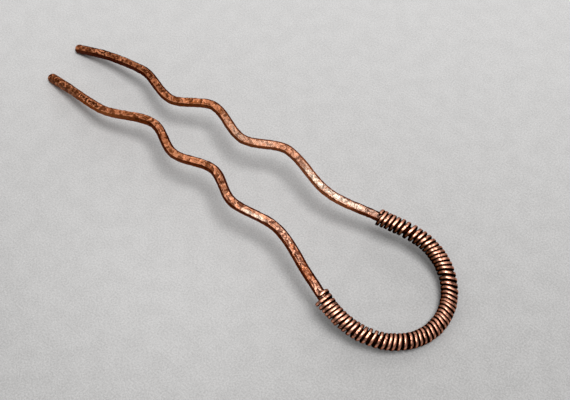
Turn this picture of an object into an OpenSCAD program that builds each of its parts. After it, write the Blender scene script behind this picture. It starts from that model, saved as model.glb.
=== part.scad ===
// Hair fork bent from one heavy copper wire, with a thinner wire wound about its bow.
// It lies on its two tips and its bow, arched side-on, with the bow towards +X.
// The origin is on the surface it lies on, under the middle of its outline.

/* [Heavy wire] */
// Diameter of the heavy wire
wire_d = 2.6; // [2.5:0.05:2.65]
// Diameter of the plain round tips
tip_d = 2.7; // [2.65:0.05:2.8]
// Length of each straight round tip, without its dome
tip_length = 10; // [6:1:12]
// Rise of the arch above the line from tips to bow
arch_rise = 12.5; // [8:0.5:16]
// Distance along the fork to the end of the bow, at the middle of the wire
bow_end = 136; // [133:1:140]
// Sideways shift of the bow's end, towards the far prong
bow_shift = 1.1; // [0:0.1:2]

/* [Wrap] */
// Diameter of the wrapped wire
wrap_d = 1; // [0.9:0.02:1.02]
// Gap between the wrap and the heavy wire
wrap_gap = 0.03; // [0.02:0.01:0.1]
// Angle of the wrap's first cut end before the top of the heavy wire
first_cut = 44; // [0:2:60]
// Angle of the wrap's last cut end past the top of the heavy wire
last_cut = 12; // [0:2:60]

/* [Fineness] */
// Sides of the heavy wire's section
wire_sides = 16; // [12:2:20]
// Distance between two sections of the heavy wire
wire_step = 2; // [1.5:0.1:3]
// Sides of the wrapped wire's section
wrap_sides = 6; // [6:1:7]
// Sections in one turn of the wrap
turn_steps = 12; // [12:1:13]
// Points that draw each row of a prong, and each half of the bow
curve_steps = 24; // [16:2:40]

/* [Hidden] */

// Each prong seen from above, from its tip to the widest part of the bow.
// The columns are the distance along the fork, the distance out from its middle line,
// and the slope of the one over the other, which is 0 at each crest of the waves.
near_prong = [
    [-1.6, 6.9, 0.07],
    [23.5, 9.2, 0],
    [40.8, 4.7, 0],
    [53.8, 9.2, 0],
    [65.1, 6.3, 0],
    [76.9, 10.7, 0],
    [89.2, 8.7, 0],
    [105.5, 13.4, 0.28],
    [118.1, 16.2, 0]
];
far_prong = [
    [-4.0, 6.4, 0.19],
    [22.1, 8.7, 0],
    [38.4, 4.7, 0],
    [50.4, 10.0, 0],
    [64.3, 6.3, 0],
    [76.7, 11.6, 0],
    [92.6, 8.7, 0],
    [107.7, 12.8, 0.3],
    [120.7, 16.0, 0]
];

// Where the wrap passes over the top of the heavy wire.
// The columns are the turn, and the length of heavy wire from the near tip to that turn.
wrap_chart = [
    [0, 118.3],
    [2, 121.0],
    [6, 125.3],
    [13, 133.9],
    [15, 137.0],
    [20, 143.5],
    [21, 145.1],
    [24, 148.9],
    [30, 156.4],
    [31, 157.5],
    [33, 160.0],
    [35, 162.2],
    [39, 167.6],
    [40, 169.2],
    [48, 178.5],
    [52, 183.9],
    [53, 185.7],
    [57, 190.9],
    [59, 193.2]
];

wire_r = wire_d / 2;
tip_r = tip_d / 2;
wrap_r = wrap_d / 2;
// The chords of a turn cut inside its circle, so the circle is widened to clear the heavy wire
turn_r = (wire_r + wrap_gap + wrap_r) / cos(180 / turn_steps);
wrap_outer_r = turn_r + wrap_r;
last_turn = wrap_chart[len(wrap_chart) - 1][0];
widest_near = near_prong[len(near_prong) - 1];
widest_far = far_prong[len(far_prong) - 1];
// Middle of the whole outline, which goes over the origin
middle_x = (far_prong[0][0] - tip_r + bow_end + wrap_outer_r) / 2;
middle_y = (widest_far[1] - widest_near[1]) / 2;
// Small length that directions are measured over
reach = 0.6;
// How far the swept wire runs into its plain tip
tip_overlap = 1;

function unit(v) = v / norm(v);
function reversed(list) = [for (i = [len(list) - 1 : -1 : 0]) list[i]];
function running_sum(list) = [
    for (i = 0, sum = 0; i < len(list); sum = sum + list[i], i = i + 1) sum + list[i]
];

// Distance out from the middle line between two rows of a prong, at the fraction t of the way
function spread(a, b, t) =
    let (span = b[0] - a[0])
    (2 * t ^ 3 - 3 * t ^ 2 + 1) * a[1]
    + (t ^ 3 - 2 * t ^ 2 + t) * span * a[2]
    + (3 * t ^ 2 - 2 * t ^ 3) * b[1]
    + (t ^ 3 - t ^ 2) * span * b[2];

// Waves of one prong, without its last row, where the bow begins
function waves(rows) = [
    for (i = [0 : len(rows) - 2])
        for (t = [0 : 1 / curve_steps : 0.999])
            [rows[i][0] + t * (rows[i + 1][0] - rows[i][0]), spread(rows[i], rows[i + 1], t)]
];

// Quarter of an ellipse, from the widest part of the bow to its end
function half_bow(widest, shift) = [
    for (i = [0 : curve_steps])
        let (turn = 90 * i / curve_steps)
        [
            widest[0] + (bow_end - widest[0]) * sin(turn),
            shift + (widest[1] - shift) * cos(turn)
        ]
];

// Height of the wire's middle: a round arch from a tip that lies on the surface
// to the bow's end, which lies on its wrap
function height(x, tip_x) =
    let (
        span = bow_end - tip_x,
        u = (x - tip_x) / span,
        bend_r = (span ^ 2 / 4 + arch_rise ^ 2) / (2 * arch_rise)
    )
    tip_r + (wrap_outer_r - tip_r) * u
    + sqrt(bend_r ^ 2 - (span * (u - 0.5)) ^ 2) - (bend_r - arch_rise);

// One half of the fork, tip first, where side is -1 for the near prong and 1 for the far one
function half_route(rows, side) = [
    for (p = concat(waves(rows), half_bow(rows[len(rows) - 1], side * bow_shift)))
        [p[0] - middle_x, side * p[1] - middle_y, height(p[0], rows[0][0])]
];

// Middle of the heavy wire, from the near tip round the bow to the far tip
near_half = half_route(near_prong, -1);
far_half = half_route(far_prong, 1);
route = concat(near_half, [for (i = [len(far_half) - 2 : -1 : 0]) far_half[i]]);
leg_lengths = [for (i = [0 : len(route) - 1]) i == 0 ? 0 : norm(route[i] - route[i - 1])];
stations = running_sum(leg_lengths);
wire_length = stations[len(stations) - 1];

// The three coordinates of the route, each against the length of wire from the near tip
route_x = [for (i = [0 : len(route) - 1]) [stations[i], route[i][0]]];
route_y = [for (i = [0 : len(route) - 1]) [stations[i], route[i][1]]];
route_z = [for (i = [0 : len(route) - 1]) [stations[i], route[i][2]]];

function place(s) = [lookup(s, route_x), lookup(s, route_y), lookup(s, route_z)];
function heading(s) = unit(place(s + reach) - place(s - reach));
// Sideways and upward directions square to the wire
function across(s) = unit(cross(heading(s), [0, 0, 1]));
function upward(s) = cross(across(s), heading(s));

// Ring of points about a centre, between two directions square to each other
function ring(centre, first, second, r, sides) = [
    for (i = [0 : sides - 1])
        let (a = 360 * i / sides)
        centre + r * (cos(a) * first + sin(a) * second)
];

// Closed tube through a list of rings that all have the same number of points
module tube(rings) {
    sides = len(rings[0]);
    last = (len(rings) - 1) * sides;
    walls = [
        for (i = [0 : len(rings) - 2])
            for (j = [0 : sides - 1])
                let (k = (j + 1) % sides, a = i * sides, b = a + sides)
                each [[a + j, b + j, a + k], [a + k, b + j, b + k]]
    ];
    first_cap = [for (j = [0 : sides - 1]) j];
    last_cap = [for (j = [sides - 1 : -1 : 0]) last + j];
    polyhedron(
        points = [for (one_ring = rings) each one_ring],
        faces = concat(walls, [first_cap, last_cap])
    );
}

// Straight round end of a prong, from the middle of its dome to a point further along the wire
module plain_tip(tip, inner) {
    along = inner - tip;
    tilt = acos(along[2] / norm(along));
    swing = atan2(along[1], along[0]);
    translate(tip) rotate([0, tilt, swing]) {
        cylinder(h = norm(along), r = tip_r, $fn = 48);
        sphere(r = tip_r, $fn = 48);
    }
}

module fork_wire() {
    swept_from = tip_length - tip_overlap;
    swept_length = wire_length - 2 * swept_from;
    steps = round(swept_length / wire_step);
    color([0.72, 0.43, 0.31]) union() {
        tube([
            for (i = [0 : steps])
                let (s = swept_from + swept_length * i / steps)
                ring(place(s), upward(s), across(s), wire_r, wire_sides)
        ]);
        plain_tip(place(0), place(tip_length));
        plain_tip(place(wire_length), place(wire_length - tip_length));
    }
}

// Angle of the wrap about the heavy wire at a turn, which runs left-handed
function wrap_angle(turn) = -360 * turn;
// Direction from the middle of the heavy wire out to the wrap
function outward(turn) =
    let (s = lookup(turn, wrap_chart), a = wrap_angle(turn))
    cos(a) * upward(s) + sin(a) * across(s);
function wrap_middle(turn) = place(lookup(turn, wrap_chart)) + turn_r * outward(turn);

module wrap_wire() {
    first = -first_cut / 360;
    final = last_turn + last_cut / 360;
    steps = round((final - first) * turn_steps);
    part_turn = (final - first) / steps;
    color([0.80, 0.52, 0.40]) tube([
        for (i = [0 : steps])
            let (
                turn = first + i * part_turn,
                along = unit(wrap_middle(turn + part_turn) - wrap_middle(turn - part_turn)),
                out = unit(outward(turn) - (outward(turn) * along) * along)
            )
            ring(wrap_middle(turn), out, cross(along, out), wrap_r, wrap_sides)
    ]);
}

fork_wire();
wrap_wire();
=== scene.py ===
"""Hair fork of hammered copper wire with a wound bow, lying on a pale floor.

The heavy wire and the wrap are each grown by a Geometry Nodes tree along the same middle line.
Lengths in the tables are in millimetres, and every other length is in metres.
"""

import math
from collections import namedtuple

import bpy
import numpy as np
from bpy.props import FloatProperty, FloatVectorProperty, IntProperty, PointerProperty
from bpy.types import Operator, Panel, PropertyGroup
from mathutils import Matrix, Vector


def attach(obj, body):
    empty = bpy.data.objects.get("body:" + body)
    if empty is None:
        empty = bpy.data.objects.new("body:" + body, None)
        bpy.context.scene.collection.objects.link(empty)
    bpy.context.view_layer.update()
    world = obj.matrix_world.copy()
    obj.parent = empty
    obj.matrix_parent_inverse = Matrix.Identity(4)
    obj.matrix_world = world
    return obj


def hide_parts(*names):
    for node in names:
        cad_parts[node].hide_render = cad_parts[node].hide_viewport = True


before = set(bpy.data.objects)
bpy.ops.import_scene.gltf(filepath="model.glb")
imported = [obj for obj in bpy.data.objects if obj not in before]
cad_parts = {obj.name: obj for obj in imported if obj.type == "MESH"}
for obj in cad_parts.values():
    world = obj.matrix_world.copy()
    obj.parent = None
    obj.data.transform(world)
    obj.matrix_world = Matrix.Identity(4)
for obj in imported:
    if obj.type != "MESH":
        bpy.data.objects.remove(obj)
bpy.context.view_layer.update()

bl_info = {
    "name": "Hair fork",
    "version": (1, 0, 0),
    "blender": (4, 5, 0),
    "location": "3D View > Sidebar > Hair fork",
    "description": "Wavy hair fork of hammered copper wire with a wound bow",
    "category": "Add Mesh",
}

MM = 0.001

# Thickness of the wound wire, which keeps the bow off the floor.
WRAP_DIAMETER = 1.0 * MM

# Steps of the middle line between two rows of a prong, and round each half of the bow.
ROUTE_STEPS = 64

# Distance between the heavy wire's sections where it is bare, and where it is wound.
BARE_STEP = 0.15 * MM
WOUND_STEP = 0.5 * MM

# Sections on each domed tip.
DOME_RINGS = 12

# How many times finer the hammer marks are at the tips than near the bow.
FINE_MARKS = 1.5

# Distance between the faint ribs that cross the hammered face.
RIB_PITCH = 0.52 * MM

# Shape of the turns of the wrap, seen along the heavy wire: 2 is round, and more is squarer.
SQUARENESS = 2.6

# The wrap is rubbed, and painted as lit, on its upper side and a little round to the outer side of the bow,
# by this angle; its lower side has painted shade.
WEAR_AND_LIGHT_LEAN = math.radians(20)


def table(columns, *rows):
    """Rows of a table, whose columns are read by name."""
    row_kind = namedtuple("Row", columns)
    return [row_kind(*row) for row in rows]


# Each prong seen from above, from its tip to the widest part of the bow.
# The columns are the distance along the fork, the distance out from its middle line,
# and the slope of the one over the other.
NEAR_PRONG = table(
    "along out slope",
    (-1.6, 6.9, 0.07),
    (23.5, 9.2, 0),
    (40.8, 4.7, 0),
    (53.8, 9.2, 0),
    (65.1, 6.3, 0),
    (76.9, 10.7, 0),
    (89.2, 8.7, 0),
    (105.5, 13.4, 0.28),
    (118.1, 16.2, 0),
)
FAR_PRONG = table(
    "along out slope",
    (-4.0, 6.4, 0.19),
    (22.1, 8.7, 0),
    (38.4, 4.7, 0),
    (50.4, 10.0, 0),
    (64.3, 6.3, 0),
    (76.7, 11.6, 0),
    (92.6, 8.7, 0),
    (107.7, 12.8, 0.3),
    (120.7, 16.0, 0),
)

# Where the wrap passes over the top of the heavy wire.
# The columns are the turn, and the length of heavy wire from the near tip to that turn.
WRAP_CHART = table(
    "turn station",
    (0, 118.3),
    (2, 121.0),
    (6, 125.3),
    (13, 133.9),
    (15, 137.0),
    (20, 143.5),
    (21, 145.1),
    (24, 148.9),
    (30, 156.4),
    (31, 157.5),
    (33, 160.0),
    (35, 162.2),
    (39, 167.6),
    (40, 169.2),
    (48, 178.5),
    (52, 183.9),
    (53, 185.7),
    (57, 190.9),
    (59, 193.2),
)

# Turns that stand off the heavy wire where they cross its outer side.
# The columns are the turn, and how far it stands off.
LOOSE_TURNS = table(
    "turn gap",
    (0, 0.0),
    (0.4, 0.1),
    (0.75, 0.42),
    (1.25, 0.12),
    (1.75, 0.2),
    (2.5, 0.05),
    (30, 0.0),
    (56, 0.05),
    (59, 0.0),
)

# Slant of the turns: each one lies askew, further along the wire on one side of its top than on the other.
# The columns are the turn, and how far it lies askew.
SLANTED_TURNS = table(
    "turn askew",
    (0, -0.38),
    (1, -0.3),
    (3, -0.05),
    (5, 0.05),
    (8, 0.24),
    (16, 0.24),
    (19, 0.02),
    (25, 0.02),
    (29, 0.25),
    (36, 0.36),
    (46, 0.38),
    (51, 0.32),
    (56, 0.3),
    (59, 0.4),
)

# How the hammered face lies along the heavy wire, how worn it is, and where it has a painted highlight.
# The columns are the length of wire from the near tip, the face's turn about the wire in degrees,
# how rubbed the face is, and how clean it is. Rubbed goes from 1, pale copper that is partly rubbed
# and partly a painted highlight, to 0 and on to -1, with its patina darkened. Clean goes from 1, with
# no patina left, through 0, with patina in the marks only, to -1, with patina all over.
FACE_CHART = table(
    "station roll rubbed clean",
    (0, 8, 0.0, 0.0),
    (4, 9, 0.0, -0.25),
    (10, 9, 0.0, -0.25),
    (14, 10, 0.0, 0.1),
    (17, 11, 0.0, 0.0),
    (21, 14, 0.0, 0.0),
    (26, 13, 0.0, 0.0),
    (29, 11, 0.0, 0.7),
    (33, 8, 0.0, 0.8),
    (38, 2, 0.0, 0.5),
    (43, 0, 0.0, -0.1),
    (49, 0, -0.3, 0.3),
    (54, 4, -0.6, -0.25),
    (58, 7, -0.3, 0.4),
    (61, 12, 0.0, 1.0),
    (65, 13, 0.0, 0.8),
    (69, 9, 0.0, -0.1),
    (73, 10, 0.0, 0.2),
    (79, 10, 0.0, 0.2),
    (83, 10, 0.0, 0.0),
    (86.3, 13, 0.0, 0.25),
    (88.3, 18, 0.95, 0.4),
    (93, 18, 1.0, 0.5),
    (95.5, 8, 0.1, 0.4),
    (103, 6, 0.0, -0.1),
    (109, 8, -0.4, -0.25),
    (115, 10, -0.5, -0.4),
    (118, 14, 0.1, 0.0),
    (130, 18, 0.0, 0.0),
    (145, 26, 0.0, 0.0),
    (157, 22, 0.0, 0.0),
    (172, 5, 0.0, 0.0),
    (188, -14, 0.0, 0.0),
    (192, -12, 0.05, -0.9),
    (196, -14, 0.15, -0.8),
    (199, -14, 0.35, -0.6),
    (202, -12, 0.85, -0.1),
    (212, -10, 0.95, 0.1),
    (222, -13, 0.3, 0.9),
    (229, -18, 0.15, 1.0),
    (232, -20, 0.6, 1.0),
    (237, -18, 0.4, 0.9),
    (241, -14, 0.5, 0.6),
    (245, -10, 0.35, 0.55),
    (249, -10, 0.2, 0.3),
    (253, -12, 0.0, 0.2),
    (257, -12, 0.0, 0.1),
    (266, -14, -0.3, 0.0),
    (272, -10, -0.6, 0.0),
    (281, -8, -1.0, -0.2),
    (285, -8, -0.5, 0.2),
    (289, -8, -0.5, 0.6),
    (297, -9, -0.6, 0.1),
    (302, -12, -0.5, 0.3),
    (311, -16, -0.3, 0.9),
)


def hermite(start, end, part):
    """Distance out between two rows of a prong, at a part of the way from one to the other."""
    span = end.along - start.along
    return (
        (2 * part**3 - 3 * part**2 + 1) * start.out
        + (part**3 - 2 * part**2 + part) * span * start.slope
        + (3 * part**2 - 2 * part**3) * end.out
        + (part**3 - part**2) * span * end.slope
    )


def wrapped_radius(sizes):
    """Distance from the heavy wire's middle to the outside of its wrap."""
    return sizes.wire_diameter / 2 + sizes.wrap_clearance + WRAP_DIAMETER


def arch_height(along, tip_along, sizes):
    """Height of the wire's middle at a distance along the fork."""
    tip_height = sizes.tip_diameter / 2
    span = sizes.bow_end - tip_along
    part = (along - tip_along) / span
    bend = (span**2 / 4 + sizes.arch_rise**2) / (2 * sizes.arch_rise)
    arch = math.sqrt(bend**2 - (span * (part - 0.5)) ** 2) - (bend - sizes.arch_rise)
    return tip_height + (wrapped_radius(sizes) - tip_height) * part + arch


def outline_middle(sizes):
    """Middle of the whole outline, which lies over the origin."""
    tip_end = FAR_PRONG[0].along * MM - sizes.tip_diameter / 2
    middle_y = (FAR_PRONG[-1].out - NEAR_PRONG[-1].out) / 2 * MM
    return (tip_end + sizes.bow_end + wrapped_radius(sizes)) / 2, middle_y


def half_route(rows, side, sizes):
    """Half of the wire's middle line, tip first: side is -1 for the near prong and 1 for the far one."""
    flat = []
    for start, end in zip(rows, rows[1:]):
        for i in range(ROUTE_STEPS):
            part = i / ROUTE_STEPS
            along = (start.along + part * (end.along - start.along)) * MM
            flat.append((along, hermite(start, end, part) * MM))
    wide_along, wide_out = rows[-1].along * MM, rows[-1].out * MM
    shift = side * sizes.bow_shift
    for i in range(ROUTE_STEPS + 1):
        turn = math.radians(90 * i / ROUTE_STEPS)
        along = wide_along + (sizes.bow_end - wide_along) * math.sin(turn)
        flat.append((along, shift + (wide_out - shift) * math.cos(turn)))
    middle_x, middle_y = outline_middle(sizes)
    tip_along = rows[0].along * MM
    return [
        (x - middle_x, side * y - middle_y, arch_height(x, tip_along, sizes))
        for x, y in flat
    ]


class Route:
    """Middle line of the heavy wire, from the near tip round the bow to the far tip."""

    def __init__(self, sizes):
        near = half_route(NEAR_PRONG, -1, sizes)
        far = half_route(FAR_PRONG, 1, sizes)
        self.points = np.array(near + far[-2::-1])
        legs = np.linalg.norm(np.diff(self.points, axis=0), axis=1)
        self.stations = np.concatenate(([0.0], np.cumsum(legs)))
        self.length = self.stations[-1]
        self.straight = sizes.tip_length
        self.tip_radius = sizes.tip_diameter / 2

    def on_line(self, station):
        """Place on the line at a length of wire from the near tip."""
        return np.array([np.interp(station, self.stations, self.points[:, i]) for i in range(3)])

    def place(self, station):
        """Place on the line, with each prong's end made straight and drawn on past its tip."""
        for end, inner in ((0, self.straight), (self.length, self.length - self.straight)):
            share = (station - end) / (inner - end)
            if share < 1:
                return self.on_line(end) + share * (self.on_line(inner) - self.on_line(end))
        return self.on_line(station)

    def sections(self, bare_step, wound_step):
        """Length of wire from the near tip to each section, close together on the domed tips."""
        dome = [-self.tip_radius * math.cos(math.radians(90 * i / DOME_RINGS)) for i in range(DOME_RINGS)]
        wound_from, wound_to = WRAP_CHART[0].station * MM, WRAP_CHART[-1].station * MM
        stations = list(dome)
        for start, end, step in (
            (0, wound_from, bare_step),
            (wound_from, wound_to, wound_step),
            (wound_to, self.length, bare_step),
        ):
            count = round((end - start) / step)
            stations += [start + (end - start) * i / count for i in range(count)]
        return stations + [self.length] + [self.length - station for station in reversed(dome)]


class Field:
    """One output of a node, which is added, multiplied and joined like a number."""

    def __init__(self, graph, socket):
        self.graph = graph
        self.socket = socket

    def __add__(self, other):
        return self.graph.combine("ADD", self, other)

    def __sub__(self, other):
        return self.graph.combine("SUBTRACT", self, other)

    def __rsub__(self, other):
        return self.graph.combine("SUBTRACT", other, self)

    def __mul__(self, other):
        return self.graph.combine("MULTIPLY", self, other)

    def __truediv__(self, other):
        return self.graph.combine("DIVIDE", self, other)

    def __pow__(self, other):
        return self.graph.combine("POWER", self, other)

    def __neg__(self):
        return self * -1.0

    __radd__ = __add__


class Graph:
    """A node tree under construction, with short calls that add a node and join it up."""

    def __init__(self, tree):
        self.tree = tree
        self.labels = {}

    @classmethod
    def geometry(cls, name):
        """New geometry tree, still without its inputs."""
        graph = cls(bpy.data.node_groups.new(name, "GeometryNodeTree"))
        graph.tree.is_modifier = True
        graph.entry = graph.tree.nodes.new("NodeGroupInput")
        return graph

    @classmethod
    def material(cls, name, viewport_colour):
        """New material, with its shader ready to be joined."""
        made = bpy.data.materials.new(name)
        made.use_nodes = True
        made.diffuse_color = (*viewport_colour, 1)
        graph = cls(made.node_tree)
        graph.made = made
        graph.shader = made.node_tree.nodes["Principled BSDF"]
        return graph

    def input(self, name, kind, default=None, subtype=None):
        """Named input of a geometry tree. The kind is the end of the socket's type name."""
        item = self.tree.interface.new_socket(name=name, in_out="INPUT", socket_type="NodeSocket" + kind)
        if subtype:
            item.subtype = subtype
        if default is not None:
            item.default_value = default
        self.labels[name] = item.identifier
        return Field(self, next(out for out in self.entry.outputs if out.identifier == item.identifier))

    def join(self, socket, value):
        """Joins an output to a socket, or sets the socket to a plain value."""
        if isinstance(value, Field):
            self.tree.links.new(value.socket, socket)
        else:
            socket.default_value = value

    def node(self, kind, joins=None, **settings):
        """Adds a node, sets its options, and joins or sets its inputs by name or number."""
        node = self.tree.nodes.new(kind)
        for name, value in settings.items():
            setattr(node, name, value)
        for key, value in (joins or {}).items():
            self.join(node.inputs[key], value)
        return node

    def field(self, kind, joins=None, output=0, **settings):
        """Adds a node and gives one of its outputs."""
        return Field(self, self.node(kind, joins, **settings).outputs[output])

    def math(self, operation, *values):
        """Result of a sum on numbers."""
        return self.field("ShaderNodeMath", dict(enumerate(values)), operation=operation)

    def vector_math(self, operation, *values):
        """Result of a sum on vectors, which is a vector or a number."""
        output = "Value" if operation in ("DOT_PRODUCT", "DISTANCE") else "Vector"
        return self.field("ShaderNodeVectorMath", dict(enumerate(values)), output, operation=operation)

    def combine(self, operation, first, second):
        """Result of a sum on two numbers, two vectors, or a vector scaled by a number."""
        vectors = [isinstance(term, Field) and term.socket.type == "VECTOR" for term in (first, second)]
        if not any(vectors):
            return self.math(operation, first, second)
        if all(vectors):
            return self.vector_math(operation, first, second)
        vector, number = (first, second) if vectors[0] else (second, first)
        if operation != "MULTIPLY":
            raise ValueError("a vector is only scaled by a number")
        return self.field("ShaderNodeVectorMath", {0: vector, "Scale": number}, "Vector", operation="SCALE")

    def vector(self, x=0.0, y=0.0, z=0.0):
        """Vector of three numbers."""
        return self.field("ShaderNodeCombineXYZ", {0: x, 1: y, 2: z})

    def ramp(self, value, low, high, start=0.0, end=1.0):
        """Smooth step of a value from low to high, which goes from start to end."""
        joins = {"Value": value, "From Min": low, "From Max": high, "To Min": start, "To Max": end}
        return self.field("ShaderNodeMapRange", joins, interpolation_type="SMOOTHSTEP")

    def clamp(self, value):
        """Value kept between 0 and 1."""
        return self.math("MINIMUM", self.math("MAXIMUM", value, 0.0), 1.0)

    def blend(self, share, first, second):
        """Number that goes from the first to the second as share goes from 0 to 1."""
        return self.field("ShaderNodeMix", {0: share, 2: first, 3: second}, data_type="FLOAT")

    def tint(self, share, first, second):
        """Colour that goes from the first to the second as share goes from 0 to 1."""
        first, second = (end if isinstance(end, Field) else (*end, 1) for end in (first, second))
        return self.field("ShaderNodeMix", {0: share, 6: first, 7: second}, 2, data_type="RGBA")

    def noise(self, place, size, detail=2.0, roughness=0.5, output=0, **settings):
        """Noise with lumps of a size, from 0 to 1."""
        joins = {"Scale": 1 / size, "Detail": detail, "Roughness": roughness}
        joins["W" if settings.get("noise_dimensions") == "1D" else "Vector"] = place
        return self.field("ShaderNodeTexNoise", joins, output, **settings)

    def centred_noise(self, place, size, detail=2.0, roughness=0.5, **settings):
        """Noise with lumps of a size, from -0.5 to 0.5."""
        return self.noise(place, size, detail, roughness, **settings) - 0.5

    def cells(self, place, output, **settings):
        """Irregular cells of a plane, each about 1 across."""
        joins = {"Vector": place, "Scale": 1.0, "Randomness": 0.9}
        return self.field("ShaderNodeTexVoronoi", joins, output, voronoi_dimensions="2D", **settings)

    def attribute(self, name, output="Fac"):
        """Value that a geometry tree stored on the mesh."""
        return self.field("ShaderNodeAttribute", None, output, attribute_name=name)

    def capture(self, geometry, **fields):
        """Keeps fields of a geometry as they are here. Returns the geometry and the kept fields."""
        node = self.node("GeometryNodeCaptureAttribute", {"Geometry": geometry})
        for name, value in fields.items():
            kind = "VECTOR" if value.socket.type == "VECTOR" else "FLOAT"
            node.capture_items.new(kind, name)
            self.join(node.inputs[name], value)
        return Field(self, node.outputs["Geometry"]), [Field(self, node.outputs[name]) for name in fields]

    def store(self, geometry, **fields):
        """Writes fields on the points of a mesh under names that the material reads."""
        for name, value in fields.items():
            kind = "FLOAT_VECTOR" if value.socket.type == "VECTOR" else "FLOAT"
            joins = {"Geometry": geometry, "Name": name, "Value": value}
            geometry = self.field("GeometryNodeStoreNamedAttribute", joins, data_type=kind, domain="POINT")
        return geometry

    def move(self, geometry, **joins):
        """Moves points to a position, by an offset, or both."""
        named = {name.capitalize(): value for name, value in joins.items()}
        return self.field("GeometryNodeSetPosition", {"Geometry": geometry, **named})

    def curve(self, value, rows, low, high):
        """Value read off a chart of two columns, whose second column lies between low and high."""
        last, span = rows[-1][0], high - low
        node = self.node("ShaderNodeFloatCurve", {"Value": value / last})
        line = node.mapping.curves[0]
        while len(line.points) < len(rows):
            line.points.new(0.5, 0.5)
        for point, (x, y) in zip(line.points, rows):
            point.location = (x / last, (y - low) / span)
            point.handle_type = "AUTO_CLAMPED"
        node.mapping.update()
        return Field(self, node.outputs[0]) * span + low

    def finish(self, geometry, material):
        """Ends a geometry tree with smooth shading, real meshes and the material."""
        self.tree.interface.new_socket(name="Geometry", in_out="OUTPUT", socket_type="NodeSocketGeometry")
        smooth = self.field("GeometryNodeSetShadeSmooth", {"Geometry": geometry, "Shade Smooth": True})
        real = self.field("GeometryNodeRealizeInstances", {"Geometry": smooth})
        painted = self.field("GeometryNodeSetMaterial", {"Geometry": real, "Material": material})
        self.join(self.tree.nodes.new("NodeGroupOutput").inputs[0], painted)


def incoming_route(graph):
    """Curve that comes into a geometry tree as its route, with level normals."""
    route = graph.field("GeometryNodeObjectInfo", {"Object": graph.input("Route", "Object")}, "Geometry")
    return graph.field("GeometryNodeSetCurveNormal", {"Curve": route}, mode="Z_UP")


def swept(graph, route, sides, radius, scale=None, caps=False):
    """Tube of a round section along a curve."""
    profile = graph.field("GeometryNodeCurvePrimitiveCircle", {"Resolution": sides, "Radius": radius})
    joins = {"Curve": route, "Profile Curve": profile, "Fill Caps": caps}
    if scale is not None:
        joins["Scale"] = scale
    return graph.field("GeometryNodeCurveToMesh", joins)


def turned(graph, side, rise, roll):
    """How far a place lies to the side and up, in a section that is turned by a roll."""
    over, beside = graph.math("COSINE", roll), graph.math("SINE", roll)
    return side * over - rise * beside, rise * over + side * beside


def off_face_chart(graph, station, column):
    """Value in a column of the face's chart at a length of wire from the near tip."""
    rows = [(row.station, getattr(row, column)) for row in FACE_CHART]
    most = max(abs(value) for _, value in rows)
    return graph.curve(station / MM, rows, -most, most)


def face_roll(graph, station):
    """Turn of the hammered face about the wire."""
    return off_face_chart(graph, station, "roll") * math.radians(1)


def hammer_marks(graph, station, around, to_end, sizes):
    """Hammer marks as cells on the unrolled wire, small at the tips and longer towards the bow.

    Gives the distance from a mark's rim, and a number from 0 to 1 that is the mark's own.
    """
    place = graph.vector(station, around, 0.01 * sizes.seed)
    sway = graph.noise(place, 1.9 * MM, 1.0, output="Color")
    sway = graph.vector_math("SUBTRACT", sway, (0.5, 0.5, 0.5)) * 0.75
    fine = graph.ramp(to_end, 14 * MM, 42 * MM, 1.0, 0.0)
    rims, own = [], []
    for scale in (1.0, FINE_MARKS):
        place = graph.vector(station / sizes.mark_length * scale, around / sizes.mark_width * scale) + sway
        place = place + graph.vector(sizes.seed * 7.3, scale * 2.7)
        rims.append(graph.cells(place, "Distance", feature="DISTANCE_TO_EDGE"))
        own.append(graph.field("ShaderNodeSeparateXYZ", {0: graph.cells(place, "Color")}))
    return graph.blend(fine, *rims), graph.blend(fine, *own)


def flatten(graph, wide, tall, roll, top_limit, under_limit):
    """Section with its turned face and its underside flattened, and the corners beside them kept round."""
    sideways, upright = turned(graph, wide, tall, roll)
    upright = graph.math("SMOOTH_MIN", upright, top_limit, 0.16 * MM)
    wide, tall = turned(graph, sideways, upright, -roll)
    return wide, graph.math("SMOOTH_MAX", tall, -under_limit, 0.2 * MM)


def hammering(graph, station, side, rise, to_end, dome, sizes):
    """How far the hammered surface stands out, in depths of a mark. It is below 0 in the marks."""
    radius = sizes.wire_diameter / 2
    rim, own = hammer_marks(graph, station, graph.math("ARCTAN2", side, rise) * radius, to_end, sizes)
    hollow = graph.ramp(rim, 0.02, 0.26) * graph.ramp(own, 0.1, 0.6, 0.6, 1.0)
    # The marks are shallow on the sides and fade out over the domes.
    reach = graph.ramp(graph.math("ABSOLUTE", rise), 0.2, 0.6, 0.12, 1.0) * dome
    rough = graph.centred_noise(graph.vector(station, side * radius, rise * radius), 0.9 * MM, 1.0)
    return rough * 0.7 - hollow * reach


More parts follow.
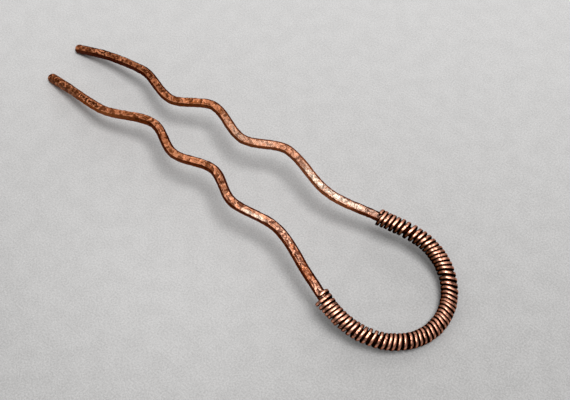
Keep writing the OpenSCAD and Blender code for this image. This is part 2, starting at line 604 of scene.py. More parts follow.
def hammered_wire_tree(copper, sizes):
    """Tree that sweeps the heavy wire, rounds its tips, flattens it and hammers it."""
    graph = Graph.geometry("Hammered wire")
    route = incoming_route(graph)
    wire_radius = graph.input("Wire Radius", "Float", 1.3 * MM, "DISTANCE")
    tip_radius = graph.input("Tip Radius", "Float", 1.35 * MM, "DISTANCE")
    tip_length = graph.input("Tip Length", "Float", 10 * MM, "DISTANCE")
    flat_top = graph.input("Flat Top", "Float", 1.0 * MM, "DISTANCE")
    flat_under = graph.input("Flat Underside", "Float", 1.15 * MM, "DISTANCE")
    mark_depth = graph.input("Mark Depth", "Float", 0.06 * MM, "DISTANCE")
    sides = graph.input("Sides", "Int", 56)

    total = graph.field("GeometryNodeCurveLength", {"Curve": route})
    route, (station, middle, heading, across) = graph.capture(
        route,
        station=graph.field("GeometryNodeSplineParameter", None, "Length"),
        middle=graph.field("GeometryNodeInputPosition"),
        heading=graph.field("GeometryNodeInputTangent"),
        across=graph.field("GeometryNodeInputNormal"),
    )
    upward = graph.vector_math("CROSS_PRODUCT", across, heading)
    wire = swept(graph, route, sides, wire_radius)
    offset = graph.field("GeometryNodeInputPosition") - middle
    wire, (side, rise) = graph.capture(
        wire,
        side=graph.vector_math("DOT_PRODUCT", offset, across) / wire_radius,
        rise=graph.vector_math("DOT_PRODUCT", offset, upward) / wire_radius,
    )

    to_end = graph.math("MINIMUM", station, total - station)
    past = graph.clamp((tip_radius - to_end) / tip_radius)
    # Each tip is a little blunter than half a ball, and narrows to the wire past its straight part.
    dome = (1.0 - past**2.5) ** 0.42
    thick = graph.blend(graph.ramp(to_end, tip_length, tip_length + 4 * MM), tip_radius, wire_radius)
    # The hammering has spread the wire a little, more in some places than in others.
    spread = graph.centred_noise(station, 5.5 * MM, 1.0, noise_dimensions="1D") * 0.1 + 1.04
    # The face is flatter near the bow than at the tips.
    top_limit = flat_top * graph.ramp(to_end, 4 * MM, 22 * MM, 1.22, 1.0)
    roll = face_roll(graph, station)
    wide, tall = side * thick * dome * spread, rise * thick * dome
    wide, tall = flatten(graph, wide, tall, roll, top_limit, flat_under)
    wire = graph.move(wire, position=middle + across * wide + upward * tall)
    relief = hammering(graph, station, side, rise, to_end, dome, sizes) * mark_depth
    wire = graph.move(wire, offset=graph.field("GeometryNodeInputNormal") * relief)

    wire = graph.field("GeometryNodeMergeByDistance", {"Geometry": wire, "Distance": 0.002 * MM})
    _, exposed = turned(graph, side, rise, roll)
    wire = graph.store(wire, to_end=to_end, exposed=exposed, unrolled=graph.vector(station, side, rise))
    graph.finish(wire, copper)
    return graph


def turn_line(graph, first_turn, last_turn, steps):
    """Line with a point at each step of each turn, and one more for the chamfer of each cut end.

    Gives the line, the turn at each point, and -1, 0 or 1 for the first cut, the turns and the last cut.
    """
    count = graph.math("ROUND", (last_turn - first_turn) * steps) + 3.0
    line = graph.field("GeometryNodeCurvePrimitiveLine")
    line = graph.field("GeometryNodeResampleCurve", {"Curve": line, "Count": count})
    index = graph.field("GeometryNodeInputIndex")
    inner = graph.math("MAXIMUM", graph.math("MINIMUM", index - 1.0, count - 3.0), 0.0)
    cut = index - 1.0 - inner
    turn = first_turn + inner * ((last_turn - first_turn) / (count - 3.0)) + cut * 0.012
    line, (turn, cut) = graph.capture(line, turn=turn, cut=cut)
    return line, turn, cut


def turn_station(graph, turn, lean, unevenness, seed):
    """Length of heavy wire from the near tip to a place on a turn, which slants and wanders."""
    station = graph.curve(turn, WRAP_CHART, WRAP_CHART[0].station, WRAP_CHART[-1].station) * MM
    drift = graph.centred_noise(turn * 0.83 + seed * 9.7, 1.0, 0.0, noise_dimensions="1D")
    stray = graph.centred_noise(turn * 0.9 + seed * 4.3, 1.0, 0.0, noise_dimensions="1D")
    slant = graph.curve(turn, SLANTED_TURNS, -0.4, 0.6) * MM + stray * unevenness * 4.0
    return station + drift * unevenness * 2.0 - slant * lean


def turn_radius(graph, turn, station, swing, tight):
    """Distance between the middles of the two wires: a turn is a little square, and may stand off."""
    loose = graph.curve(turn, LOOSE_TURNS, 0.0, 1.0) * MM
    loose = loose * graph.ramp(graph.math("SINE", swing), -0.2, 1.0)
    from_face = swing - face_roll(graph, station)
    over, beside = graph.math("COSINE", from_face), graph.math("SINE", from_face)
    corner = graph.math("ABSOLUTE", over) ** SQUARENESS + graph.math("ABSOLUTE", beside) ** SQUARENESS
    flat = graph.math("MAXIMUM", over, 0.0) ** 3.0 * 0.17 * MM
    return tight * corner ** (-1 / SQUARENESS) + loose - flat


def press_turns(graph, wrap, place, outward, turn, thin_radius, seed):
    """Flattens the outside of each turn by its own amount, and dents the wrap a little."""
    offset = graph.field("GeometryNodeInputPosition") - place
    outer = graph.vector_math("DOT_PRODUCT", offset, outward)
    level = graph.noise(turn * 2.3 + seed * 3.1, 1.0, 1.0, noise_dimensions="1D")
    limit = thin_radius * graph.ramp(level, 0.35, 0.65, 0.6, 0.88)
    pressed = graph.math("SMOOTH_MIN", outer, limit, 0.2 * MM)
    wrap, (outer_kept, level_kept) = graph.capture(wrap, outer=outer / thin_radius, level=level)
    wrap = graph.move(wrap, position=place + offset + outward * (pressed - outer))
    dents = graph.centred_noise(graph.field("GeometryNodeInputPosition"), 0.9 * MM, 1.0)
    wrap = graph.move(wrap, offset=graph.field("GeometryNodeInputNormal") * (dents * 0.08 * MM))
    return graph.store(wrap, outer=outer_kept, level=level_kept)


def wound_wire_tree(copper):
    """Tree that winds the thin wire about the heavy one, turn by turn off the chart."""
    graph = Graph.geometry("Wound wire")
    route = incoming_route(graph)
    heavy_radius = graph.input("Heavy Radius", "Float", 1.3 * MM, "DISTANCE")
    thin_radius = graph.input("Thin Radius", "Float", 0.5 * MM, "DISTANCE")
    clearance = graph.input("Clearance", "Float", 0.01 * MM, "DISTANCE")
    lead_in = graph.input("Lead In", "Float", 1.35 * MM, "DISTANCE")
    first_turn = graph.input("First Turn", "Float", -0.0667)
    last_turn = graph.input("Last Turn", "Float", 59.0333)
    steps = graph.input("Steps per Turn", "Int", 40)
    sides = graph.input("Sides", "Int", 16)
    unevenness = graph.input("Unevenness", "Float", 0.1 * MM, "DISTANCE")
    seed = graph.input("Seed", "Float", 5.0)

    line, turn, cut = turn_line(graph, first_turn, last_turn, steps)
    swing = turn * -math.tau
    lift, lean = graph.math("COSINE", swing), graph.math("SINE", swing)
    station = turn_station(graph, turn, lean, unevenness, seed)
    joins = {"Curves": route, "Length": station + lead_in}
    sample = graph.node("GeometryNodeSampleCurve", joins, mode="LENGTH", data_type="FLOAT")
    sampled = (sample.outputs[name] for name in ("Position", "Tangent", "Normal"))
    middle, heading, across = (Field(graph, output) for output in sampled)
    outward = graph.vector_math("CROSS_PRODUCT", across, heading) * lift + across * lean
    radius = turn_radius(graph, turn, station, swing, heavy_radius + thin_radius + clearance)
    line = graph.move(line, position=middle + outward * radius)
    line = graph.field("GeometryNodeSetCurveNormal", {"Curve": line, "Normal": outward}, mode="FREE")
    line, (place, outward, turn, exposed) = graph.capture(
        line,
        place=graph.field("GeometryNodeInputPosition"),
        outward=outward,
        turn=turn,
        exposed=lift * math.cos(WEAR_AND_LIGHT_LEAN) + lean * math.sin(WEAR_AND_LIGHT_LEAN),
    )

    # Each cut end is drawn in over its last part of a turn, and its edge is chamfered.
    from_cut = graph.math("MINIMUM", turn - first_turn, last_turn - turn)
    chamfer = graph.ramp(from_cut, 0.0, 0.06, 0.5, 1.0) * (1.0 - graph.math("ABSOLUTE", cut) * 0.3)
    wrap = swept(graph, line, sides, thin_radius, chamfer, True)
    wrap = press_turns(graph, wrap, place, outward, turn, thin_radius, seed)
    wrap = graph.store(wrap, exposed=exposed)
    graph.finish(wrap, copper)
    return graph


def stretch(graph, station, start, full, fade, end, share=1.0):
    """Share of a stretch of wire, which is none at its start and at its end and whole from full to fade.

    The four places are millimetres of wire from the near tip.
    """
    return graph.ramp(station, start * MM, full * MM) * graph.ramp(station, fade * MM, end * MM, share, 0.0)


class WireSurface:
    """Places on the heavy wire and the noises, marks and wear there, which its material mixes."""

    def __init__(self, graph, sizes):
        unrolled = graph.node("ShaderNodeSeparateXYZ", {0: graph.attribute("unrolled", "Vector")})
        self.station, self.side, rise = (Field(graph, out) for out in unrolled.outputs)
        self.around = graph.math("ARCTAN2", self.side, rise) * (sizes.wire_diameter / 2)
        self.exposed = graph.attribute("exposed")
        to_end = graph.attribute("to_end")
        place = graph.field("ShaderNodeTexCoord", None, "Object")

        self.patches = graph.centred_noise(place, 7 * MM)
        self.speck = graph.centred_noise(place, 0.75 * MM, 2.0, 0.6)
        self.grain = graph.centred_noise(place, 0.3 * MM, 3.0, 0.65)
        self.blotch = graph.centred_noise(place, 1.2 * MM, 1.0) + self.speck * 0.6 + self.grain * 0.45
        self.rim, self.own = hammer_marks(graph, self.station, self.around, to_end, sizes)
        pitch = (self.station + self.around * 0.5) * (math.tau / RIB_PITCH)
        self.ribs = graph.math("SINE", pitch + self.speck * 7.0) * 0.5 + 0.5

        self.rubbed = off_face_chart(graph, self.station, "rubbed")
        self.clean = off_face_chart(graph, self.station, "clean")
        # This falls to 0 where the chart has patina all over.
        self.handled = 1.0 + graph.math("MINIMUM", self.clean, 0.0)
        # Each of these is 1 at the tips and 0 near the bow.
        self.old = graph.ramp(to_end, 55 * MM, 108 * MM, 1.0, 0.0)
        self.dulled = graph.ramp(to_end, 24 * MM, 38 * MM, 1.0, 0.0)
        self.tips = graph.ramp(to_end, 12 * MM, 24 * MM, 1.0, 0.0)
        # A stretch of the near prong whose marks have a deeper patina.
        self.deep = stretch(graph, self.station, 15, 18, 26, 36)


def bare_share(graph, wire, sizes):
    """Share of bare copper: rims of marks, curls at the tips that are partly painted glints, a line along
    the face's border that is partly a painted highlight, and what is swept clean.
    """
    uneven_rim = wire.rim + wire.speck * 0.34 + wire.grain * 0.2 - wire.patches * 0.3
    mark = graph.ramp(uneven_rim - wire.deep * 0.02, 0.03, 0.12)
    mark = mark * graph.blend(graph.math("MAXIMUM", graph.ramp(wire.own, 0.12, 0.42), wire.deep), 0.4, 1.0)
    # Curls of bare copper at the tips, which also stand in for glints on the dents' edges: painted
    # highlights.
    bend = graph.vector(wire.station / (2.6 * MM), wire.around / (1.5 * MM), 0.3 * sizes.seed)
    curl = graph.math("ABSOLUTE", graph.centred_noise(bend, 1.0, 1.0)) + wire.grain * 0.03
    broken = graph.vector(wire.station / (1.8 * MM), wire.around / (1.2 * MM), 5.0)
    curl = graph.ramp(curl, 0.07, 0.03) * graph.ramp(graph.noise(broken, 1.0, 1.0), 0.4, 0.48)
    rims = 1.0 - graph.blend(wire.tips, mark, 1.0 - curl)
    # A line of bare copper along the face's border, which is also a painted highlight where the face turns
    # down to the side.
    edge = graph.ramp(wire.exposed, 0.78, 0.82) * graph.ramp(wire.exposed, 0.92, 0.86)
    bare = graph.math("MAXIMUM", rims, edge * (1.0 - wire.tips * 0.6) * 0.75) * wire.handled
    swept_clean = wire.clean * graph.ramp(wire.speck + (wire.own - 0.5) * 0.3, -0.14, 0.0)
    return graph.math("MAXIMUM", bare, swept_clean * graph.blend(wire.dulled, 0.8, 0.55))


def pale_highlight_share(graph, wire):
    """Share of pale copper, partly rubbed and partly a painted highlight: the outer side of the face on the
    near prong, and all of it beyond.
    """
    outer_side = graph.ramp(wire.side + wire.speck * 0.6, 0.16, 0.34)
    streak = graph.blend(graph.ramp(wire.station, 96 * MM, 98 * MM), outer_side, 1.0)
    face = graph.ramp(wire.exposed + wire.speck * 0.1, 0.8, 0.9)
    whole = graph.ramp(wire.patches + wire.speck * 0.8 + wire.grain * 0.4, -0.24, -0.08)
    return graph.math("MAXIMUM", wire.rubbed, 0.0) * streak * face * whole


def patina_colour(graph, wire, sizes):
    """Patina in the hammer marks, which changes towards the tips and is crossed by faint ribs."""
    patina = graph.tint(wire.old, sizes.brown, sizes.tarnish)
    patina = graph.tint(wire.dulled * 0.8, patina, sizes.dull)
    darkened = graph.math("MAXIMUM", -wire.rubbed, 0.0)
    patina = graph.tint(graph.math("MAXIMUM", wire.deep * 0.4, darkened), patina, sizes.dark)
    ribbed = wire.ribs * graph.ramp(wire.own, 0.3, 0.6) * wire.handled * (1.0 - wire.deep)
    return graph.tint(ribbed * 0.35, patina, sizes.orange)


def face_colour(graph, wire, bare, sizes):
    """Colour of the hammered face: patina, bare copper, the pale streak that is partly a painted highlight,
    and dark and light blotches.
    """
    patina = patina_colour(graph, wire, sizes)
    ridge = graph.tint(wire.old, sizes.bright, sizes.worn)
    face = graph.tint(graph.ramp(bare, 0.0, 0.55), patina, sizes.orange)
    face = graph.tint(graph.ramp(bare, 0.45, 0.9), face, ridge)
    # Pale streak: partly rubbed copper, partly a painted highlight where the face catches the lamp.
    pale = pale_highlight_share(graph, wire)
    face = graph.tint(pale, face, sizes.pale)
    face = graph.tint((1.0 - wire.ribs) * graph.ramp(wire.clean, 0.6, 0.9) * 0.7, face, sizes.orange)
    pits = graph.tint(0.5, patina, sizes.dark)
    face = graph.tint(graph.ramp(wire.blotch, 0.04, 0.1) * graph.blend(pale, 0.9, 0.4), face, pits)
    lighter = graph.ramp(wire.blotch, -0.06, -0.13) * wire.handled * (1.0 - wire.deep)
    return graph.tint(lighter * 0.7, face, graph.tint(0.55, sizes.orange, ridge))


def flank_colour(graph, wire, greyer_tip, sizes):
    """Colour of the sides: a dark patina with painted shade, lighter on some stretches, with painted bounce
    light from the floor low on the near prong's sides, greyer at the near tip and sooty at the far tip.
    """
    near_tip = graph.ramp(wire.station, 25 * MM, 50 * MM, 1.0, 0.0)
    # Painted bounce light: the lower part of the near prong's sides is lighter, as if lit from the floor.
    painted_bounce = graph.ramp(wire.exposed + wire.speck * 0.3, 0.6, 0.1)
    painted_bounce = painted_bounce * graph.ramp(wire.station, 110 * MM, 118 * MM, 0.45, 0.0)
    far_side = stretch(graph, wire.station, 200, 208, 266, 284, 0.4)
    lighter = graph.math("MAXIMUM", graph.math("MAXIMUM", near_tip, painted_bounce), far_side)
    shaded_flank = graph.tint(lighter, sizes.dark, sizes.tarnish)
    shaded_flank = graph.tint(stretch(graph, wire.station, 198, 204, 214, 226, 0.4), shaded_flank, sizes.orange)
    shaded_flank = graph.tint(greyer_tip, shaded_flank, sizes.tip_grey)
    return graph.tint(graph.ramp(wire.station, 280 * MM, 296 * MM) * 0.3, shaded_flank, sizes.soot)


def finish_copper(graph, colours, metallic, roughness, height, depth, strength):
    """Joins a copper's colour, shine and relief to its shader, and gives the finished material."""
    bump = graph.field("ShaderNodeBump", {"Height": height, "Distance": depth, "Strength": strength})
    for name, value in (
        ("Base Color", colours),
        ("Specular Tint", colours),
        ("Metallic", metallic),
        ("Roughness", roughness),
        ("Normal", bump),
    ):
        graph.join(graph.shader.inputs[name], value)
    return graph.made


def hammered_copper(sizes):
    """Copper with bright rims, a grey-brown patina in the hammer marks, and a dark patina with painted
    shade on the sides.
    """
    graph = Graph.material("Hammered copper", sizes.bright)
    wire = WireSurface(graph, sizes)
    bare = bare_share(graph, wire, sizes)
    # The near tip's sides are greyer, and their dark band is narrower.
    greyer_tip = graph.ramp(wire.station, 13 * MM, 22 * MM, 1.0, 0.0)
    # The sides below the hammered face take a dark patina and painted shade, since they face away from the
    # lamps.
    shaded_flank = graph.ramp(wire.exposed + wire.speck * 0.16, 0.84, 0.75) * graph.blend(greyer_tip, 0.97, 0.45)
    first, last = WRAP_CHART[0].station, WRAP_CHART[-1].station
    wound = stretch(graph, wire.station, first + 1.7, first + 2.7, last - 1.4, last - 0.6)
    colours = face_colour(graph, wire, bare, sizes)
    colours = graph.tint(shaded_flank, colours, flank_colour(graph, wire, greyer_tip, sizes))
    colours = graph.tint(wound, colours, sizes.soot)
    metallic = 1.0 - graph.math("MAXIMUM", wire.clean, 0.0) * 0.35
    roughness = graph.blend(bare, 0.45, graph.blend(wire.old, 0.5, 0.66)) + wire.grain * 0.2
    height = wire.speck + wire.grain * 0.35 + wire.ribs * 0.12 + bare * 0.5
    return finish_copper(graph, colours, metallic, roughness, height, 0.15 * MM, 1.0)


def wound_copper(sizes):
    """Round copper wire, rubbed bright along the crest of each turn and left dark between the turns, with
    painted shade that narrows and darkens the crest on each turn's lower side.
    """
    graph = Graph.material("Wound copper", sizes.bright)
    place = graph.field("ShaderNodeTexCoord", None, "Object")
    outer = graph.attribute("outer")
    exposed = graph.attribute("exposed")
    speck = graph.centred_noise(place, 0.7 * MM, 2.0, 0.6)
    grain = graph.centred_noise(place, 0.25 * MM, 3.0, 0.6)
    dots = graph.noise(place, 0.5 * MM, 1.0)
    pressed = graph.ramp(graph.attribute("level"), 0.5, 0.4)
    # Painted shade, with less rubbing: each turn's crest is narrower and darker on its lower side, which
    # faces away from the lamps.
    shade_narrowing = graph.ramp(exposed, -0.5, 0.85, 0.27, 0.0)
    rubbed_and_lit_side = graph.ramp(exposed + speck * 0.25, -0.85, 0.95)
    rubbed = graph.ramp(outer + speck * 0.25 - shade_narrowing, 0.56, 0.97) * rubbed_and_lit_side
    spots = graph.ramp(dots + pressed * 0.08, 0.54, 0.62) * graph.blend(pressed, 0.3, 0.9) * rubbed_and_lit_side
    colours = graph.tint(graph.ramp(rubbed, 0.0, 0.34), sizes.dark, sizes.worn)
    colours = graph.tint(graph.ramp(rubbed, 0.36, 1.0), colours, sizes.bright)
    colours = graph.tint(spots * 0.8, colours, sizes.dark)
    roughness = graph.blend(rubbed, 0.5, 0.37) + grain * 0.14
    height = grain + dots * pressed * 3.0
    return finish_copper(graph, colours, 1.0, roughness, height, 0.02 * MM, 0.6)


def pale_floor(stage):
    """Matt floor with a fine grain, and painted light and shade: paler towards the back and about one
    point.
    """
    graph = Graph.material("Pale floor", stage.floor)
    place = graph.field("ShaderNodeTexCoord", None, "Object")
    grain = graph.noise(place, 0.45 * MM, 3.0, 0.7)
    mottle = graph.noise(place, 5 * MM, 1.0)
    away = graph.vector_math("DOT_PRODUCT", place, tuple(towards(stage.back_azimuth, 0)))
    from_glow = graph.vector_math("DISTANCE", place, tuple(stage.glow))
    # Painted shade: the floor darkens towards the front.
    shade = graph.ramp(away, -150 * MM, 150 * MM, 0.4, 0.0)
    shade = shade + graph.ramp(grain, 0.3, 0.7, 0.0, 0.22) + graph.ramp(mottle, 0.3, 0.7, 0.0, 0.04)
    # Painted light: the floor is paler round the glow point.
    shade = shade - graph.ramp(from_glow, 75 * MM, 0.0, 0.0, 0.11)
    graph.join(graph.shader.inputs["Base Color"], graph.tint(shade, stage.floor, stage.floor_shade))
    graph.join(graph.shader.inputs["Roughness"], 0.85)
    graph.join(graph.shader.inputs["Specular IOR Level"], 0.2)
    return graph.made


def path_object(name, route, bare_step, wound_step):
    """Curve object with a point at each section of the heavy wire."""
    stations = route.sections(bare_step, wound_step)
    curve = bpy.data.curves.new(name, "CURVE")
    curve.dimensions = "3D"
    line = curve.splines.new("POLY")
    line.points.add(len(stations) - 1)
    for point, station in zip(line.points, stations):
        point.co = (*route.place(station), 1)
    made = bpy.data.objects.new(name, curve)
    bpy.context.scene.collection.objects.link(made)
    return made


def grown(name, graph, values):
    """Object with the plain mesh that a geometry tree makes from these inputs."""
    made = bpy.data.objects.new(name, bpy.data.meshes.new(name))
    bpy.context.scene.collection.objects.link(made)
    modifier = made.modifiers.new("Grow", "NODES")
    modifier.node_group = graph.tree
    for label, value in values.items():
        modifier[graph.labels[label]] = value
    depsgraph = bpy.context.evaluated_depsgraph_get()
    depsgraph.update()
    evaluated = made.evaluated_get(depsgraph)
    mesh = bpy.data.meshes.new_from_object(evaluated, preserve_all_data_layers=True, depsgraph=depsgraph)
    made.modifiers.clear()
    made.data = mesh
    mesh.name = name
    if not mesh.polygons:
        raise RuntimeError(name + " came out empty")
    return made


def length(name, description, default_mm, low_mm, high_mm):
    """Property for a length, given in millimetres and kept in metres."""
    return FloatProperty(
        name=name,
        description=description,
        default=default_mm * MM,
        min=low_mm * MM,
        max=high_mm * MM,
        precision=5,
        subtype="DISTANCE",
        unit="LENGTH",
    )


def floor_point(name, description, x_mm, y_mm):
    """Property for a point of the floor, given in millimetres and kept in metres."""
    return FloatVectorProperty(
        name=name,
        description=description,
        default=(x_mm * MM, y_mm * MM, 0),
        size=3,
        subtype="TRANSLATION",
        unit="LENGTH",
    )


def angle(name, description, default):
    """Property for an angle, given in degrees and kept in radians."""
    return FloatProperty(
        name=name, description=description, default=math.radians(default), subtype="ANGLE", unit="ROTATION"
    )


def power(name, description, default):
    """Property for a lamp's power in watts."""
    return FloatProperty(name=name, description=description, default=default, min=0, unit="POWER")


def colour(name, description, default):
    """Property for a colour."""
    return FloatVectorProperty(
        name=name, description=description, default=default, min=0, max=1, size=3, subtype="COLOR"
    )


class ForkWireSettings(PropertyGroup):
    """Sizes and colours of the heavy wire"""

    wire_diameter: length("Wire diameter", "Diameter of the heavy wire", 2.6, 2, 3)
    tip_diameter: length("Tip diameter", "Diameter of the round tips", 2.7, 2, 3)
    tip_length: length("Tip length", "Length of each straight tip", 10, 5, 12)
    arch_rise: length("Arch rise", "Rise of the arch above the line from tips to bow", 12.5, 5, 20)
    bow_end: length("Bow end", "Distance along the fork to the end of the bow", 136, 130, 140)
    bow_shift: length("Bow shift", "Sideways shift of the bow's end", 1.1, 0, 2)
    wrap_clearance: length("Wrap clearance", "Extra height of the bow over its wrap", 0.0946, 0, 1)
    flat_top: length("Flat top", "Height of the hammered flat over the wire's middle", 1.05, 0.5, 1.3)
    flat_under: length("Flat underside", "Depth of the lower flat under the wire's middle", 1.22, 0.5, 1.3)
    mark_length: length("Mark length", "Usual length of a hammer mark along the wire", 2.6, 0.5, 4)
    mark_width: length("Mark width", "Usual width of a hammer mark", 1.25, 0.5, 4)
    mark_depth: length("Mark depth", "Depth of a hammer mark", 0.14, 0, 0.3)
    seed: IntProperty(name="Seed", description="Changes where the hammer marks fall", default=3)
    bright: colour("Bright", "Polished copper on the rims near the bow", (1.0, 0.56, 0.39))
    # The pale colour is partly rubbed copper and partly a painted highlight.
    pale: colour("Pale", "Copper rubbed pale on the hammered face near the bow", (1.0, 0.81, 0.65))
    worn: colour("Worn", "Duller copper on the rims near the tips", (1.0, 0.47, 0.25))
    orange: colour("Orange", "Copper that is rubbed thin of its patina", (0.6, 0.205, 0.085))
    brown: colour("Brown", "Patina in the hammer marks near the bow", (0.17, 0.072, 0.052))
    tarnish: colour("Tarnish", "Patina in the hammer marks farther from the bow", (0.33, 0.1, 0.027))
    dull: colour("Dull", "Patina in the hammer marks near the tips", (0.16, 0.055, 0.018))
    # On the sides this colour is also painted shade.
    dark: colour("Dark", "Patina on the sides", (0.115, 0.02, 0.0035))
    tip_grey: colour("Dust", "Greyer patina on the sides of the near tip", (0.27, 0.15, 0.105))
    soot: colour("Soot", "Patina under the wrap", (0.02, 0.004, 0.002))


class WrapWireSettings(PropertyGroup):
    """Sizes and colours of the wound wire"""

    wire_diameter: length("Wire diameter", "Diameter of the wound wire", WRAP_DIAMETER / MM, 0.5, 1.5)
    first_cut: angle("First cut", "Angle of the first cut end before the top of the heavy wire", 44)
    last_cut: angle("Last cut", "Angle of the last cut end past the top of the heavy wire", 12)
    unevenness: length("Unevenness", "How far the turns wander from their chart", 0.08, 0, 0.5)
    seed: IntProperty(name="Seed", description="Changes how the turns wander", default=5)
    bright: colour("Bright", "Copper rubbed bright along the crests", (0.86, 0.41, 0.28))
    worn: colour("Worn", "Duller copper beside the crests", (0.26, 0.085, 0.034))
    dark: colour("Dark", "Patina between the turns", (0.018, 0.004, 0.001))


class StageSettings(PropertyGroup):
    """Floor, lamps and camera"""

    floor_size: length("Floor size", "Side of the square floor", 3000, 500, 10000)
    floor: colour("Floor", "Colour of the floor at the back", (0.842, 0.834, 0.829))
    floor_shade: colour("Floor shade", "Tone that the floor darkens to at the front", (0.1, 0.097, 0.092))
    glow: floor_point("Glow", "Point of the floor round which it is a little paler", 14, -34)
    lamp_power: power("Lamp power", "Power of the main lamp", 6.3)
    lamp_size: length("Lamp size", "Diameter of the round main lamp", 415, 50, 2000)
    lamp_distance: length("Lamp distance", "Distance of the main lamp", 1000, 300, 3000)
    lamp_azimuth: angle("Lamp azimuth", "Side that the main lamp stands on", -15.3)
    lamp_elevation: angle("Lamp elevation", "Angle of the main lamp over the floor", 70.2)
    back_power: power("Back power", "Power of the large lamp at the back", 3.8)
    back_size: length("Back size", "Diameter of the large lamp at the back", 1600, 50, 2000)
    back_distance: length("Back distance", "Distance of the large lamp at the back", 900, 300, 3000)
    back_azimuth: angle("Back azimuth", "Side that the large lamp stands on", 132)
    back_elevation: angle("Back elevation", "Angle of the large lamp over the floor", 62)
    sky: FloatProperty(
        name="Sky", description="Brightness of the light from all round", default=0.15, min=0
    )
    target: floor_point("Target", "Point of the floor that the camera looks at", 13.55, 5.94)
    distance: length("Camera distance", "Distance from the camera to its target", 297.93, 100, 1000)
    azimuth: angle("Camera azimuth", "Side that the camera stands on", -47.63)
    elevation: angle("Camera elevation", "Angle of the camera over the floor", 56)
    roll: angle("Camera roll", "Turn about the line of sight", -1.56)
    lens: FloatProperty(
        name="Lens", description="Focal length on a sensor 36 mm wide", default=67.58, min=1
    )


def towards(azimuth, elevation):
    """Direction from the origin towards a side and an angle over the floor."""
    flat = math.cos(elevation)
    return Vector((flat * math.cos(azimuth), flat * math.sin(azimuth), math.sin(elevation)))


def facing(backward, roll=0.0):
    """Rotation of a camera or lamp that stands in a direction and looks back along it."""
    right = Vector((0, 0, 1)).cross(backward).normalized()
    up = backward.cross(right)
    turned_right = math.cos(roll) * right + math.sin(roll) * up
    turned_up = math.cos(roll) * up - math.sin(roll) * right
    return Matrix((turned_right, turned_up, backward)).transposed().to_4x4()


class HAIRFORK_OT_fork_wire(Operator):
    """Adds the heavy hammered wire: two wavy prongs and the bow"""

    bl_idname = "hair_fork.fork_wire"
    bl_label = "Heavy wire"

    def execute(self, context):
        sizes = context.scene.fork_wire
        path = path_object("fork_wire_path", Route(sizes), BARE_STEP, WOUND_STEP)
        copper = hammered_copper(sizes)
        values = {
            "Route": path,
            "Wire Radius": sizes.wire_diameter / 2,
            "Tip Radius": sizes.tip_diameter / 2,
            "Tip Length": sizes.tip_length,
            "Flat Top": sizes.flat_top,
            "Flat Underside": sizes.flat_under,
            "Mark Depth": sizes.mark_depth,
        }
        wire = grown("hammered_wire", hammered_wire_tree(copper, sizes), values)
        bpy.data.objects.remove(path)
        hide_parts("fork_wire")
        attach(wire, "root")
        return {"FINISHED"}


class HAIRFORK_OT_wrap_wire(Operator):
    """Adds the thin wire wound about the bow"""

    bl_idname = "hair_fork.wrap_wire"
    bl_label = "Wrap"

    def execute(self, context):
        heavy, sizes = context.scene.fork_wire, context.scene.wrap_wire
        path = path_object("wrap_wire_path", Route(heavy), WOUND_STEP, WOUND_STEP)
        copper = wound_copper(sizes)
        values = {
            "Route": path,
            "Heavy Radius": heavy.wire_diameter / 2,
            "Thin Radius": sizes.wire_diameter / 2,
            "Lead In": heavy.tip_diameter / 2,
            "First Turn": -sizes.first_cut / math.tau,
            "Last Turn": WRAP_CHART[-1].turn + sizes.last_cut / math.tau,
            "Unevenness": sizes.unevenness,
            "Seed": float(sizes.seed),
        }
        wrap = grown("wound_wire", wound_wire_tree(copper), values)
        bpy.data.objects.remove(path)
        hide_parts("wrap_wire")
        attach(wrap, "root")
        return {"FINISHED"}


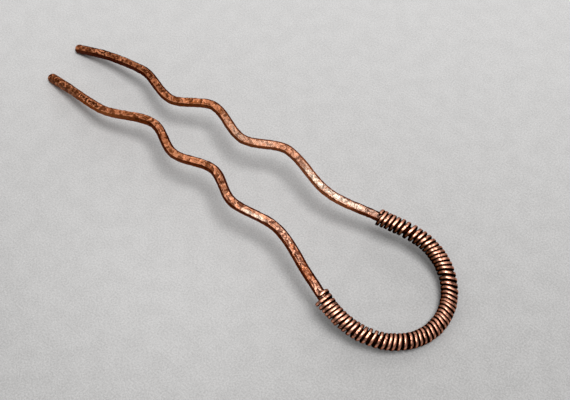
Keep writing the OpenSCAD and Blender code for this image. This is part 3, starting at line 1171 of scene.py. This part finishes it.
class HAIRFORK_OT_stage(Operator):
    """Adds the floor, the lamps and the camera"""

    bl_idname = "hair_fork.stage"
    bl_label = "Stage"

    def execute(self, context):
        stage = context.scene.fork_stage
        self.add_floor(context, stage)
        self.add_light(context, stage)
        self.add_camera(context, stage)
        return {"FINISHED"}

    def add_floor(self, context, stage):
        """Adds the square floor."""
        half = stage.floor_size / 2
        corners = [(-half, -half, 0), (half, -half, 0), (half, half, 0), (-half, half, 0)]
        mesh = bpy.data.meshes.new("floor")
        mesh.from_pydata(corners, [], [(0, 1, 2, 3)])
        mesh.materials.append(pale_floor(stage))
        floor = bpy.data.objects.new("floor", mesh)
        context.scene.collection.objects.link(floor)

    def add_light(self, context, stage):
        """Adds the two lamps and the light from all round."""
        for name in ("lamp", "back"):
            lamp = bpy.data.lights.new(name, "AREA")
            lamp.shape = "DISK"
            lamp.size = getattr(stage, name + "_size")
            lamp.energy = getattr(stage, name + "_power")
            made = bpy.data.objects.new(name, lamp)
            direction = towards(getattr(stage, name + "_azimuth"), getattr(stage, name + "_elevation"))
            place = direction * getattr(stage, name + "_distance")
            made.matrix_world = Matrix.Translation(place) @ facing(direction)
            context.scene.collection.objects.link(made)
        world = bpy.data.worlds.new("studio")
        context.scene.world = world
        world.use_nodes = True
        world.node_tree.nodes["Background"].inputs["Color"].default_value = (1, 1, 1, 1)
        world.node_tree.nodes["Background"].inputs["Strength"].default_value = stage.sky
        context.scene.view_settings.view_transform = "Standard"

    def add_camera(self, context, stage):
        """Adds the camera and makes it the scene's."""
        camera = bpy.data.cameras.new("camera")
        camera.lens = stage.lens
        camera.clip_start = 10 * MM
        made = bpy.data.objects.new("camera", camera)
        direction = towards(stage.azimuth, stage.elevation)
        place = Vector(stage.target) + direction * stage.distance
        made.matrix_world = Matrix.Translation(place) @ facing(direction, stage.roll)
        context.scene.collection.objects.link(made)
        context.scene.camera = made


class HAIRFORK_PT_sidebar(Panel):
    """Lists the pieces of the hair fork with their sizes and colours"""

    bl_idname = "HAIRFORK_PT_sidebar"
    bl_label = "Hair fork"
    bl_space_type = "VIEW_3D"
    bl_region_type = "UI"
    bl_category = "Hair fork"

    def draw(self, context):
        for operator, settings in (
            (HAIRFORK_OT_fork_wire, context.scene.fork_wire),
            (HAIRFORK_OT_wrap_wire, context.scene.wrap_wire),
            (HAIRFORK_OT_stage, context.scene.fork_stage),
        ):
            box = self.layout.box()
            box.operator(operator.bl_idname)
            for name in settings.__annotations__:
                box.prop(settings, name)


CLASSES = (
    ForkWireSettings,
    WrapWireSettings,
    StageSettings,
    HAIRFORK_OT_fork_wire,
    HAIRFORK_OT_wrap_wire,
    HAIRFORK_OT_stage,
    HAIRFORK_PT_sidebar,
)


def register():
    for cls in CLASSES:
        bpy.utils.register_class(cls)
    bpy.types.Scene.fork_wire = PointerProperty(type=ForkWireSettings)
    bpy.types.Scene.wrap_wire = PointerProperty(type=WrapWireSettings)
    bpy.types.Scene.fork_stage = PointerProperty(type=StageSettings)


def unregister():
    del bpy.types.Scene.fork_wire, bpy.types.Scene.wrap_wire, bpy.types.Scene.fork_stage
    for cls in reversed(CLASSES):
        bpy.utils.unregister_class(cls)


def main():
    register()
    bpy.ops.hair_fork.fork_wire()
    bpy.ops.hair_fork.wrap_wire()
    bpy.ops.hair_fork.stage()


if __name__ == "__main__":
    main()
